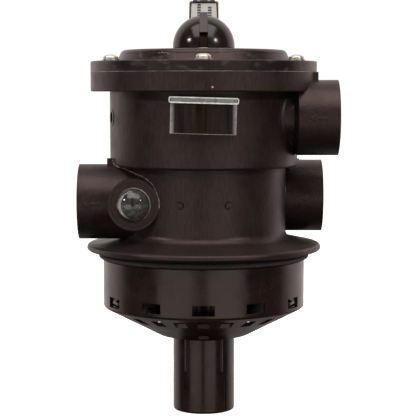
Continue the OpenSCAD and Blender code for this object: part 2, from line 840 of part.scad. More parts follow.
module rotor() {
    color(black_plastic) difference() {
        union() {
            translate([0, 0, rotor_z]) cylinder(r = rotor_r, h = rotor_t);
            translate([0, 0, rotor_z]) cylinder(d = rotor_hub_d, h = rotor_t + rotor_hub_h);
        }
        // One channel is open to the pump, and two are joined by the pocket underneath
        translate([0, 0, rotor_z - cut])
            wedge(bottom_channel + channel_pitch, hub_r + seat_margin, lower_bore_r - seat_margin,
                  rotor_t + 2 * cut, 3 * web_t);
        translate([0, 0, rotor_z - cut])
            wedge(bottom_channel - channel_pitch / 2, hub_r + seat_margin, lower_bore_r - seat_margin,
                  rotor_pocket_deep + cut, 3 * web_t, 2);
        translate([0, 0, rotor_z + stem_foot]) cylinder(r = stem_r + press_gap, h = rotor_t + rotor_hub_h);
        along_x(-rotor_hub_d, rotor_hub_d, 0, rotor_pin_z, rotor_pin_d / 2 + press_gap);
    }
}

module rotor_pin() {
    color(stainless) along_x(-rotor_hub_d / 2 + 1, rotor_hub_d / 2 - 1, 0, rotor_pin_z, rotor_pin_d / 2);
}

// A round wire wound up the stem, its two ends closed down flat on the washers
function coil_z(share) = let (half = wire_d / 2)
    spring_foot_z + half + (spring_head_z - spring_foot_z - wire_d) * share;

module compression_spring() {
    steps = 20;
    sides = 8;
    rings = spring_turns * steps;
    points = [for (i = [0:rings], k = [0:sides - 1])
        let (turn = 360 * i / steps, a = 360 * k / sides, r = spring_r + wire_d / 2 * cos(a))
        [r * cos(turn), r * sin(turn), coil_z(i / rings) + wire_d / 2 * sin(a)]];
    skin = [for (i = [0:rings - 1], k = [0:sides - 1]) let (n = (k + 1) % sides)
        [i * sides + k, i * sides + n, (i + 1) * sides + n, (i + 1) * sides + k]];
    first_end = [for (k = [0:sides - 1]) sides - 1 - k];
    last_end = [for (k = [0:sides - 1]) rings * sides + k];
    color(stainless) polyhedron(points, concat([first_end], skin, [last_end]));
}

// --------------------------------------------------------------- the handle

module handle_pin() {
    color(stainless) along_x(-pin_len / 2, pin_len / 2, 0, pin_z, pin_r);
}

// Places a piece on the lever: its own +Y along the lever, +Z out of the lever's top
module on_lever() {
    translate([0, 0, pin_z]) rotate([lever_slope, 0, 0]) children();
}

module lever_outline(length, width, corner) {
    translate([-width / 2, 0]) square([width, length - corner]);
    translate([-width / 2 + corner, 0]) square([width - 2 * corner, length]);
    for (side = [-1, 1]) translate([side * (width / 2 - corner), length - corner]) circle(r = corner);
}

module lever() {
    on_lever() {
        translate([0, lever_start, -lever_t]) difference() {
            linear_extrude(lever_t + frame_h) lever_outline(lever_len - lever_start, lever_w, lever_corner);
            translate([-lever_w / 2 + frame_w, plate_start - lever_start - 4, lever_t])
                cube([lever_w - 2 * frame_w, lever_len - plate_start + 4 - bar_deep, frame_h + cut]);
        }
        translate([-lever_w / 2 + lever_corner, lever_len - bar_deep, -cut])
            cube([lever_w - 2 * lever_corner, bar_deep, bar_h + cut]);
        translate([-spine_w / 2, lever_start, -lever_t - spine_deep])
            cube([spine_w, lever_len - lever_start - 14, spine_deep + cut]);
    }
}

// The rib over the hub's front, with its flat front face
module rib() {
    back = 8;
    top = rib_face[1][1];
    translate([-rib_w / 2, 0, hub_centre_z]) rotate([90, 0, 90]) linear_extrude(rib_w)
        polygon([rib_face[0], rib_face[1], [back, top], [back, 0], [rib_face[0][0], 0]]);
}

module handle() {
    color(black_plastic) difference() {
        union() {
            translate([0, 0, hub_centre_z]) sphere(r = hub_r2);
            lever();
            rib();
        }
        translate([-hub_d, -hub_d, hub_z - hub_d]) cube([2 * hub_d, 2 * hub_d, hub_d]);
        // Under the lever, behind the heel, so that only the heel meets the washer
        translate([-hub_d, heel_r, hub_z]) rotate([press_angle + heel_relief, 0, 0])
            translate([0, 0, -hub_d]) cube([2 * hub_d, 2 * hub_d, hub_d]);
        // Slot for the stem's blade, open at the front and the bottom
        translate([-slot_w / 2, -hub_d, hub_z - cut]) cube([slot_w, hub_d, slot_top_z - hub_z + cut]);
        translate([-slot_w / 2, -cut, hub_z - cut]) cube([slot_w, slot_back + cut, pin_z + slot_rise - hub_z + cut]);
        along_x(-slot_w / 2, slot_w / 2, 0, pin_z, blade_r + blade_gap + 0.3);
        along_x(-hub_d, hub_d, 0, pin_z, pin_r + pin_gap);
    }
}

module label_plate() {
    near_w = lever_w - 2 * frame_w - 2 * fit_gap;
    far_w = near_w - plate_taper;
    far_y = lever_len - bar_deep - fit_gap;
    color(label_grey) on_lever() translate([0, 0, press_gap])
        linear_extrude(plate_t) polygon([
            [-near_w / 2, plate_start], [near_w / 2, plate_start], [far_w / 2, far_y], [-far_w / 2, far_y]
        ]);
}

valve_body();
seat_gasket();
lid();
lid_o_ring();
lid_screws();
screw_washers();
lid_inserts();
position_label();
stem_bush();
window_gasket();
window_cover();
sight_glass();
sight_glass_o_ring();
sight_glass_ring();
tank_o_ring();
diffuser();
centre_tube();
tube_o_ring();
glide_washer();
spring_washer();
stem();
stem_o_rings();
rotor();
rotor_pin();
rotor_washer();
compression_spring();
handle_pin();
handle();
label_plate();
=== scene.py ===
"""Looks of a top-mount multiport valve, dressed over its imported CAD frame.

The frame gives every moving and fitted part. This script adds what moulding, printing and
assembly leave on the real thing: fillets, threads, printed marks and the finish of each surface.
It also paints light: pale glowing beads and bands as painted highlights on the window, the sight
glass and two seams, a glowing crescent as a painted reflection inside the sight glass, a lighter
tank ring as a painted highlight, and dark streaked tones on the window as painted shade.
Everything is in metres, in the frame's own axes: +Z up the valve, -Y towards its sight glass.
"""

from __future__ import annotations

import json
import logging
import math
from dataclasses import dataclass
from enum import Enum
from typing import Callable, Iterable, Sequence

import bmesh
import bpy
from mathutils import Matrix, Vector

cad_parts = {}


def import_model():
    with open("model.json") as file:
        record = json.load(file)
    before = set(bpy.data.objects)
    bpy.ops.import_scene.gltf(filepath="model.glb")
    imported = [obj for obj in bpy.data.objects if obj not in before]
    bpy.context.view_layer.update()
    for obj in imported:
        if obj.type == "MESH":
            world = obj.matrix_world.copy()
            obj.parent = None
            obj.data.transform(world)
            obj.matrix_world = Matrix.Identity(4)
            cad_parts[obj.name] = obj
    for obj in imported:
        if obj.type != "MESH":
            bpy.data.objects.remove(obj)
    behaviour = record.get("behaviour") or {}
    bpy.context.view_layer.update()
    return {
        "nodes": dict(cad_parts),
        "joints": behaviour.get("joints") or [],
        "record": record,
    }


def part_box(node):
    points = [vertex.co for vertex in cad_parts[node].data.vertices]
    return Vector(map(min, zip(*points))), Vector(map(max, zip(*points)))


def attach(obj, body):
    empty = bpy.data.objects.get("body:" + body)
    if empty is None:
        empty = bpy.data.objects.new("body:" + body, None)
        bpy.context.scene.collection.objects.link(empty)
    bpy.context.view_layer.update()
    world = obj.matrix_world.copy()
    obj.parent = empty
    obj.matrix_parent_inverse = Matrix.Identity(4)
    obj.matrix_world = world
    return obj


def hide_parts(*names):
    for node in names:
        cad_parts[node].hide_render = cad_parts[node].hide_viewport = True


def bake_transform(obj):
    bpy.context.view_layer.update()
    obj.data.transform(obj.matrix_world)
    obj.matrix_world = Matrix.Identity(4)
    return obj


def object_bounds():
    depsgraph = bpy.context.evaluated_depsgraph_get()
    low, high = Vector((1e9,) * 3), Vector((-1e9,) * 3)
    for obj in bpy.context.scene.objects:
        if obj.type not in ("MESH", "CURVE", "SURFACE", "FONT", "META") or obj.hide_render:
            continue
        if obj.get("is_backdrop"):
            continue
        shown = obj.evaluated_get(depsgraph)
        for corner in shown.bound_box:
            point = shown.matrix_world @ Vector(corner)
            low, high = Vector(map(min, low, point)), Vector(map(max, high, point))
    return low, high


Colour = tuple[float, float, float]
log = logging.getLogger("multiport_valve")

MM = 0.001
WHITE = (1.0, 1.0, 1.0)


class Body(str, Enum):
    """The rigid bodies of the frame that pieces ride on."""

    HOUSING = "housing"
    GLIDE = "glide"
    ROTOR = "rotor"
    HANDLE = "handle"


class Slot(str, Enum):
    """The record's material slots, passed along with some new pieces."""

    BODY = "body_plastic"
    LABEL = "label"
    STEEL = "stainless"


# ------------------------------------------------------------------------------ finishes


class Graph:
    """One tree of shader nodes under construction."""

    def __init__(self, tree: bpy.types.NodeTree) -> None:
        """Keeps the tree.

        Args:
            tree: A material's or the world's node tree.
        """
        self.links = tree.links
        self.nodes = tree.nodes

    def add(self, kind: str, **inputs: object) -> bpy.types.Node:
        """Adds one node.

        Args:
            kind: The node's Blender type.
            inputs: Values or sockets for its inputs, named with _ for spaces.

        Returns:
            The new node.
        """
        node = self.nodes.new(kind)
        for name, value in inputs.items():
            self.feed(node.inputs[name.replace("_", " ")], value)
        return node

    def feed(self, socket: bpy.types.NodeSocket, value: object) -> None:
        """Links a socket into another, or sets its value.

        Args:
            socket: The input.
            value: An output socket, or a plain value.
        """
        if isinstance(value, bpy.types.NodeSocket):
            self.links.new(value, socket)
        else:
            socket.default_value = value

    def ramp(self, value: bpy.types.NodeSocket, span: tuple[float, float],
             levels: tuple[float, float], smooth: bool = False) -> bpy.types.NodeSocket:
        """Maps one range of a value to another, and holds it there outside.

        Args:
            value: The value.
            span: The range that is mapped.
            levels: What it is mapped to.
            smooth: Whether both ends ease off.

        Returns:
            The mapped value.
        """
        node = self.add("ShaderNodeMapRange", Value=value)
        if smooth:
            node.interpolation_type = "SMOOTHSTEP"
        for name, number in zip(("From Min", "From Max", "To Min", "To Max"), (*span, *levels)):
            node.inputs[name].default_value = number
        return node.outputs["Result"]

    def mix(self, share: bpy.types.NodeSocket, first: object, second: object) -> bpy.types.NodeSocket:
        """Mixes two colours, of which either may be a socket.

        Args:
            share: 0 for the first colour and 1 for the second.
            first: A socket, or a linear colour.
            second: A socket, or a linear colour.

        Returns:
            The mixed colour.
        """
        node = self.add("ShaderNodeMix")
        node.data_type = "RGBA"
        low, high = (socket for socket in node.inputs if socket.type == "RGBA")
        self.feed(node.inputs["Factor"], share)
        for socket, colour in ((low, first), (high, second)):
            self.feed(socket, (*colour, 1) if isinstance(colour, tuple) else colour)
        return next(socket for socket in node.outputs if socket.type == "RGBA")


class Recipe(Graph):
    """A node material under construction, with its Principled shader and its texture space."""

    def __init__(self, name: str) -> None:
        """Starts a material that holds only a Principled shader.

        Args:
            name: The material's name.
        """
        self.material = bpy.data.materials.new(name)
        self.material.use_nodes = True
        super().__init__(self.material.node_tree)
        self.shader = self.nodes["Principled BSDF"]
        self.space = self.add("ShaderNodeTexCoord").outputs["Object"]

    def set(self, **inputs: object) -> None:
        """Sets or links inputs of the shader itself, named with _ for spaces."""
        for name, value in inputs.items():
            self.feed(self.shader.inputs[name.replace("_", " ")], value)

    def noise(self, size: float, detail: float = 3.0, stretch: Colour = (1, 1, 1)) -> bpy.types.NodeSocket:
        """A noise whose features have a real size.

        Args:
            size: Size of a feature, in metres.
            detail: Octaves of finer noise.
            stretch: How much each axis is squeezed.

        Returns:
            The noise's value, from 0 to 1.
        """
        space = self.space
        if tuple(stretch) != (1, 1, 1):
            space = self.add("ShaderNodeMapping", Vector=self.space, Scale=stretch).outputs["Vector"]
        node = self.add("ShaderNodeTexNoise", Vector=space, Scale=1 / size, Detail=detail)
        return node.outputs["Fac"]

    def spread(self, value: bpy.types.NodeSocket, low: float, high: float) -> bpy.types.NodeSocket:
        """Maps a noise from its middle range to a range of values.

        Args:
            value: The noise.
            low: Value where the noise is low.
            high: Value where it is high.

        Returns:
            The mapped value.
        """
        return self.ramp(value, (0.3, 0.7), (low, high))

    def rounded(self, radius: float) -> bpy.types.NodeSocket:
        """The normal of the surface with its sharp edges rounded off.

        Args:
            radius: Radius of the edges, in metres.

        Returns:
            The rounded normal.
        """
        node = self.add("ShaderNodeBevel", Radius=radius)
        node.samples = 4
        return node.outputs["Normal"]

    def bump(self, height: bpy.types.NodeSocket, depth: float, strength: float,
             under: bpy.types.NodeSocket | None = None) -> bpy.types.NodeSocket:
        """Raises the surface by a height.

        Args:
            height: The height, from 0 to 1.
            depth: What a height of 1 stands for, in metres.
            strength: How much of it is seen.
            under: A normal that the bump is laid over.

        Returns:
            The bumped normal.
        """
        node = self.add("ShaderNodeBump", Height=height, Distance=depth, Strength=strength)
        if under is not None:
            self.feed(node.inputs["Normal"], under)
        return node.outputs["Normal"]


@dataclass(frozen=True)
class MouldedPlastic:
    """Injection-moulded thermoplastic: a fine grain, flow streaks down it, cloudy gloss and scuffs."""

    name: str
    colour: Colour
    roughness: float
    grain: float = 0.25
    grain_size: float = 0.9 * MM
    cloud_size: float = 14 * MM
    cloud: float = 0.3
    streak: float = 0.35
    streak_size: float = 1.1 * MM
    gloss_range: float = 0.07
    edge_radius: float = 0.5 * MM
    sheen_colour: Colour = (1.0, 0.8, 0.74)
    scuff: float = 0.0
    scuff_size: float = 5 * MM
    scuff_tone: Colour = (1.0, 0.92, 0.88)
    scuff_edge: tuple[float, float] = (0.55, 0.68)
    streak_stretch: Colour = (1, 1, 0.22)
    streak_gain: float = 2.2
    grain_depth: float = 0.12 * MM
    streak_depth: float = 0.05 * MM

    def build(self) -> bpy.types.Material:
        """Makes the material.

        Returns:
            The material.
        """
        recipe = Recipe(self.name)
        clouds = recipe.noise(self.cloud_size, 4)
        streaks = recipe.noise(self.streak_size, 4, self.streak_stretch)
        grain = recipe.noise(self.grain_size, 2)
        dim = tuple(c * (1 - self.cloud) for c in self.colour)
        lit = tuple(c * (1 + self.cloud) for c in self.colour)
        base = recipe.mix(recipe.spread(clouds, 0, 1), dim, lit)
        pale = tuple(c * (1 + self.streak_gain * self.streak) for c in self.colour)
        shade = recipe.mix(recipe.spread(streaks, 0, self.streak), base, pale)
        glossy, dull = self.roughness - self.gloss_range, self.roughness + self.gloss_range
        if self.scuff:
            worn = recipe.noise(self.scuff_size, 6, (1, 1, 1.6))
            marks = recipe.ramp(worn, self.scuff_edge, (0, 1))
            shade = recipe.mix(marks, shade, tuple(self.scuff * c for c in self.scuff_tone))
        flow = recipe.bump(streaks, self.streak_depth, self.grain, recipe.rounded(self.edge_radius))
        recipe.set(
            Base_Color=shade,
            Roughness=recipe.spread(clouds, glossy, dull),
            Specular_Tint=(*self.sheen_colour, 1),
            Normal=recipe.bump(grain, self.grain_depth, self.grain, flow),
        )
        return recipe.material


@dataclass(frozen=True)
class TwoTone:
    """A dull surface that fades between two tones: rubber with its bloom, printed stock or ink."""

    name: str
    colour: Colour
    other: Colour
    patch: tuple[float, float] = (5 * MM, 5)
    tooth: tuple[float, float] = (0.5 * MM, 3)
    tooth_stretch: Colour = (1, 1, 1)
    tooth_depth: float = 0.06 * MM
    tooth_strength: float = 0.4
    gloss_on_tooth: bool = False
    roughness: tuple[float, float] = (0.55, 0.75)

    def build(self) -> bpy.types.Material:
        """Makes the material.

        Returns:
            The material.
        """
        recipe = Recipe(self.name)
        patches = recipe.noise(*self.patch)
        tooth = recipe.noise(*self.tooth, self.tooth_stretch)
        recipe.set(
            Base_Color=recipe.mix(recipe.spread(patches, 0, 1), self.colour, self.other),
            Roughness=recipe.spread(tooth if self.gloss_on_tooth else patches, *self.roughness),
            Normal=recipe.bump(tooth, self.tooth_depth, self.tooth_strength),
        )
        return recipe.material


def rubber(name: str, colour: Colour) -> TwoTone:
    """Moulded black rubber, with a bloom in patches.

    Args:
        name: The material's name.
        colour: Its darker tone.

    Returns:
        The finish.
    """
    return TwoTone(name, colour, tuple(c * 1.8 for c in colour))


def stock(name: str, colour: Colour) -> TwoTone:
    """Pale printed stock, with a paper-like fleck and scuffs.

    Args:
        name: The material's name.
        colour: Its lighter tone.

    Returns:
        The finish.
    """
    return TwoTone(name, tuple(c * 0.78 for c in colour), colour, (0.8 * MM, 5), (7 * MM, 4), (1, 3, 1),
                   0.05 * MM, 0.25, True, (0.4, 0.6))


@dataclass(frozen=True)
class Metal:
    """Bare metal with turning marks along one direction."""

    name: str
    colour: Colour
    roughness: float
    stretch: Colour = (1, 1, 8)

    def build(self) -> bpy.types.Material:
        """Makes the material.

        Returns:
            The material.
        """
        recipe = Recipe(self.name)
        marks = recipe.noise(1.2 * MM, 4, self.stretch)
        dull = tuple(c * 0.82 for c in self.colour)
        recipe.set(
            Base_Color=recipe.mix(recipe.spread(marks, 0, 1), dull, self.colour),
            Metallic=1.0,
            Roughness=recipe.spread(marks, self.roughness - 0.06, self.roughness + 0.1),
            Normal=recipe.bump(marks, 0.03 * MM, 0.3, recipe.rounded(0.25 * MM)),
        )
        return recipe.material


@dataclass(frozen=True)
class ClearPlastic:
    """Clear moulded plastic, very slightly wavy, its colour streaked between two tones."""

    name: str
    base_tone: Colour = (0.97, 0.98, 0.98)
    streak_tone: Colour = (0.95, 0.96, 0.96)
    streak: Colour = (1, 1, 1)
    roughness: float = 0.02
    sheen_colour: Colour = (1, 1, 1)
    clearness: float = 1.0

    def build(self) -> bpy.types.Material:
        """Makes the material.

        Returns:
            The material.
        """
        recipe = Recipe(self.name)
        wave = recipe.noise(6 * MM, 2)
        # Two tones streaked together. On the window both are dark: painted shade for the dim chamber seen
        # through it.
        tone_streaks = recipe.noise(4 * MM, 3, self.streak)
        recipe.set(
            Base_Color=recipe.mix(recipe.spread(tone_streaks, 0, 1), self.base_tone, self.streak_tone),
            Roughness=recipe.spread(wave, self.roughness, self.roughness + 0.03),
            IOR=1.49,
            Transmission_Weight=self.clearness,
            Specular_Tint=(*self.sheen_colour, 1),
            Normal=recipe.bump(wave, 0.05 * MM, 0.3, recipe.rounded(0.35 * MM)),
        )
        return recipe.material


@dataclass(frozen=True)
class LitEdge:
    """A pale frosted bead that glows a little: painted light for bright edges, highlights and a reflection.
    """

    name: str
    colour: Colour
    glow: float
    fade: tuple[float, float] | None = None
    unlit: Colour = (0.012, 0.008, 0.006)

    def build(self) -> bpy.types.Material:
        """Makes the material.

        Returns:
            The material.
        """
        recipe = Recipe(self.name)
        frost = recipe.noise(2.5 * MM, 3)
        dim = tuple(c * 0.6 for c in self.colour)
        shade = recipe.mix(recipe.spread(frost, 0, 1), dim, self.colour)
        # With fade, the colour drops to unlit towards the middle in X: a painted highlight band.
        if self.fade:
            across = recipe.add("ShaderNodeMath")
            across.operation = "ABSOLUTE"
            axes = recipe.add("ShaderNodeSeparateXYZ", Vector=recipe.space)
            recipe.feed(across.inputs[0], axes.outputs["X"])
            lit = recipe.ramp(across.outputs["Value"], self.fade, (0, 1))
            shade = recipe.mix(lit, self.unlit, shade)
        # The emission makes the piece glow though it is no lamp: painted light.
        recipe.set(
            Base_Color=shade,
            Roughness=recipe.spread(frost, 0.25, 0.4),
            Emission_Color=shade,
            Emission_Strength=self.glow,
            Normal=recipe.bump(frost, 0.05 * MM, 0.3),
        )
        return recipe.material


@dataclass(frozen=True)
class StudioPaper:
    """The pale sheet that the valve stands on."""

    name: str
    colour: Colour = (0.92, 0.92, 0.92)
    glow: float = 0.95

    def build(self) -> bpy.types.Material:
        """Makes the material.

        Returns:
            The material.
        """
        recipe = Recipe(self.name)
        tooth = recipe.noise(3 * MM, 3)
        recipe.set(
            Base_Color=recipe.mix(tooth, self.colour, tuple(c * 0.995 for c in self.colour)),
            Roughness=0.9,
            Emission_Color=(*WHITE, 1),
            Emission_Strength=self.glow,
        )
        return recipe.material


class Finishes:
    """Every finish of the valve, made once and put on by name."""

    BODY = MouldedPlastic("body_plastic_black", (0.012, 0.0076, 0.0068), 0.4, grain=1.1, grain_size=1.3 * MM,
                          streak=0.8, streak_size=1.4 * MM, sheen_colour=(1, 0.72, 0.66))
    LID = MouldedPlastic("lid_plastic_black", (0.013, 0.0085, 0.0077), 0.32, grain=0.6, grain_size=1.4 * MM,
                         streak=0.3, scuff=0.05, scuff_size=9 * MM, sheen_colour=(1, 0.72, 0.66))
    BASKET = MouldedPlastic("basket_plastic_black", (0.02, 0.0105, 0.0092), 0.25, grain=0.12)
    HANDLE = MouldedPlastic("handle_plastic_black", (0.017, 0.0105, 0.0092), 0.2, grain=0.03, streak=0.1,
                            gloss_range=0.04, sheen_colour=(1, 0.95, 0.93))
    ROTOR = MouldedPlastic("rotor_plastic_brown", (0.035, 0.024, 0.018), 0.4)
    ACETAL = MouldedPlastic("acetal_white", (0.75, 0.74, 0.7), 0.4, grain=0.1, cloud=0.06, streak=0.05,
                            sheen_colour=(1, 1, 1))
    RUBBER = rubber("seal_rubber", (0.02, 0.019, 0.018))
    # The tank ring's rubber is lighter and browner than the other seals: a painted highlight for the thin
    # light line along it.
    TANK_RING = rubber("tank_ring_rubber", (0.042, 0.03, 0.027))
    STEEL = Metal("stainless_steel", (0.72, 0.7, 0.67), 0.24)
    SCREWS = Metal("screw_steel", (0.82, 0.77, 0.68), 0.32)
    STEM = Metal("stained_stem_steel", (0.3, 0.19, 0.13), 0.36)
    BRASS = Metal("turned_brass", (0.7, 0.52, 0.26), 0.3)
    # The window's dark brown tones and streaks, with its low clearness, are painted shade for the dim
    # chamber seen through it.
    WINDOW = ClearPlastic("window_plastic", (0.075, 0.043, 0.028), (0.006, 0.004, 0.004), (1, 1, 0.06),
                          sheen_colour=(0.1, 0.11, 0.13), clearness=0.45)
    GLASS = ClearPlastic("sight_glass_plastic", (0.62, 0.58, 0.55), (0.2, 0.17, 0.15), roughness=0.03,
                         sheen_colour=(1, 1, 1), clearness=0.9)
    # The window's edge finishes are pale and glow: painted highlights on its rim, side walls and lower edge.
    RIM_EDGE = LitEdge("window_rim_edge", (0.92, 0.9, 0.82), 0.4)
    SIDE_EDGE = LitEdge("window_side_edge", (0.42, 0.36, 0.35), 0.2, (21.6 * MM, 24.6 * MM))
    RIM_FACE = LitEdge("window_rim_face", (0.3, 0.28, 0.25), 0.2)
    FOOT_EDGE = LitEdge("window_foot_edge", (0.3, 0.25, 0.24), 0.12)
    # The sight glass's rim finish and glint glow: a painted highlight and a painted reflection.
    GLASS_EDGE = LitEdge("sight_glass_edge", (0.75, 0.66, 0.52), 0.2)
    GLASS_GLINT = LitEdge("sight_glass_glint", (0.9, 0.86, 0.8), 0.6)
    # Pale glowing beads along the body's seams: painted highlights.
    SEAM_HIGHLIGHT = LitEdge("painted_seam_highlight", (0.34, 0.29, 0.27), 0.12)
    SPOT = stock("gate_spot", (0.85, 0.62, 0.38))
    LABEL = stock("label_stock", (0.5, 0.48, 0.44))
    INK = TwoTone("label_ink", (0.02, 0.018, 0.018), (0.048, 0.0452, 0.0452), (1.1 * MM, 5), (1.1 * MM, 5),
                  tooth_depth=0.02 * MM, tooth_strength=0.3, roughness=(0.35, 0.55))
    MARKS = stock("position_marks", (0.32, 0.31, 0.29))
    PAPER = StudioPaper("studio_paper")

    NODES: dict[str, object] = {
        "valve_body": BODY, "sight_glass_ring": BODY,
        "lid": LID, "position_label": LID,
        "diffuser": BASKET, "centre_tube": BASKET,
        "handle": HANDLE, "rotor": ROTOR,
        "stem_bush": ACETAL, "glide_washer": ACETAL,
        "seat_gasket": RUBBER, "lid_o_ring": RUBBER, "window_gasket": RUBBER,
        "sight_glass_o_ring": RUBBER, "tube_o_ring": RUBBER, "stem_o_rings": RUBBER,
        "tank_o_ring": TANK_RING,
        "lid_screws": SCREWS, "screw_washers": SCREWS, "stem": STEM, "rotor_pin": STEEL,
        "handle_pin": STEEL, "spring_washer": STEEL, "rotor_washer": STEEL, "compression_spring": STEEL,
        "lid_inserts": BRASS,
        "window_cover": WINDOW, "sight_glass": GLASS,
        "label_plate": LABEL,
    }

    def __init__(self) -> None:
        """Starts with no material made."""
        self._made: dict[str, bpy.types.Material] = {}

    def material(self, finish: object) -> bpy.types.Material:
        """The material of a finish, made the first time that it is asked for.

        Args:
            finish: One of this class's finishes.

        Returns:
            Its material.
        """
        if finish.name not in self._made:
            self._made[finish.name] = finish.build()
        return self._made[finish.name]

    def dress(self, thing: bpy.types.Object, finish: object) -> None:
        """Puts one finish over a whole object.

        Args:
            thing: A CAD node or a new piece.
            finish: One of this class's finishes.
        """
        material = self.material(finish)
        slots = thing.material_slots
        if not slots:
            thing.data.materials.append(material)
        for slot in slots:
            slot.material = material

    def dress_frame(self, nodes: dict[str, bpy.types.Object]) -> None:
        """Puts the right finish on every CAD node.

        Args:
            nodes: The frame's nodes by name.
        """
        for name, node in nodes.items():
            self.dress(node, self.NODES[name])
            log.info("dressed %s", name)


# ------------------------------------------------------------------------- mesh building


class Workshop:
    """Turns mesh code into finished pieces that ride on the frame's bodies."""

    def __init__(self, finishes: Finishes) -> None:
        """Keeps the finishes that pieces are dressed with.

        Args:
            finishes: The valve's finishes.
        """
        self.finishes = finishes

    def piece(self, name: str, mesh: bmesh.types.BMesh, finish: object, body: Body,
              slot: Slot | None = None, smooth_angle: float = 35.0) -> bpy.types.Object:
        """Makes an object of a mesh, dresses it and mounts it on a body.

        Args:
            name: The piece's name.
            mesh: Its mesh, in the frame's axes. It is freed.
            finish: The finish to put on.
            body: The body that it rides on.
            slot: Not used.
            smooth_angle: Edges under this angle shade smoothly, in degrees.

        Returns:
            The new object.
        """
        bmesh.ops.remove_doubles(mesh, verts=mesh.verts, dist=1e-6)
        bmesh.ops.recalc_face_normals(mesh, faces=mesh.faces)
        for edge in mesh.edges:
            edge.smooth = edge.calc_face_angle(math.pi) < math.radians(smooth_angle)
        for face in mesh.faces:
            face.smooth = True
        data = bpy.data.meshes.new(name)
        mesh.to_mesh(data)
        mesh.free()
        thing = bpy.data.objects.new(name, data)
        bpy.context.scene.collection.objects.link(thing)
        self.finishes.dress(thing, finish)
        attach(thing, body.value)
        log.info("built %s with %d faces", name, len(data.polygons))
        return thing

    def swept(self, name: str, rings: Sequence[Sequence[Vector]], finish: object, slot: Slot | None = None,
              smooth_angle: float = 35.0, closed: bool = False) -> None:
        """Makes a piece of the housing by skinning rings of points.

        Args:
            name: The piece's name.
            rings: Rings with the same number of points.
            finish: The finish to put on.
            slot: The record's slot, passed on to piece.
            smooth_angle: Edges under this angle shade smoothly, in degrees.
            closed: Whether the last ring joins the first.
        """
        mesh = bmesh.new()
        self.loft(mesh, rings, closed)
        self.piece(name, mesh, finish, Body.HOUSING, slot, smooth_angle)

    @staticmethod
    def ring(middle: Vector, first: Vector, second: Vector, radius: float, sides: int) -> list[Vector]:
        """A ring of points.

        Args:
            middle: Its middle.
            first: Unit vector towards its first point.
            second: Unit vector a quarter turn on.
            radius: Its radius.
            sides: How many points it has.

        Returns:
            Its points.
        """
        turns = (math.tau * i / sides for i in range(sides))
        return [middle + (first * math.cos(turn) + second * math.sin(turn)) * radius for turn in turns]

    @staticmethod
    def loft(mesh: bmesh.types.BMesh, rings: Sequence[Sequence[Vector]], closed: bool = False) -> None:
        """Skins rings of points into a tube, with flat ends unless it closes on itself.

        Args:
            mesh: The mesh to add to.
            rings: Rings with the same number of points.
            closed: Whether the last ring joins the first.
        """
        rows = [[mesh.verts.new(point) for point in ring] for ring in rings]
        count = len(rows[0])
        pairs = list(zip(rows, rows[1:]))
        if closed:
            pairs.append((rows[-1], rows[0]))
        for low, high in pairs:
            for i in range(count):
                j = (i + 1) % count
                mesh.faces.new((low[i], low[j], high[j], high[i]))
        if not closed:
            mesh.faces.new(list(reversed(rows[0])))
            mesh.faces.new(rows[-1])

    @staticmethod
    def rounded_outline(length: float, width: float, corner: float, steps: int = 4) -> list[Vector]:
        """A rounded rectangle round the origin.

        Args:
            length: Its size along Y.
            width: Its size along X.
            corner: Radius of its corners.
            steps: Points in each corner.

        Returns:
            Its points, anticlockwise.
        """
        points = []
        for quarter, (side, end) in enumerate(((1, 1), (-1, 1), (-1, -1), (1, -1))):
            centre = Vector((side * (width / 2 - corner), end * (length / 2 - corner), 0))
            for i in range(steps + 1):
                angle = math.radians(90 * quarter + 90 * i / steps)
                points.append(centre + Vector((math.cos(angle), math.sin(angle), 0)) * corner)
        return points

    @classmethod
    def pad(cls, mesh: bmesh.types.BMesh, outline: Sequence[Vector], height: float, soften: float,
            place: Matrix) -> None:
        """A low pad with a softened top edge.

        Args:
            mesh: The mesh to add to.
            outline: Its outline round the origin.
            height: Its height.
            soften: How far the top edge is drawn in.
            place: Where it goes.
        """
        reach = max(point.length for point in outline)
        turn_in = soften * 0.3
        levels = ((0.0, 0.0), (height - soften, 0.0), (height - turn_in, turn_in), (height, soften))
        rings = []
        for z, inset in levels:
            share = 1 - inset / reach
            rings.append([place @ Vector((p.x * share, p.y * share, z)) for p in outline])
        cls.loft(mesh, rings)


# ------------------------------------------------------------------------- sub-assemblies


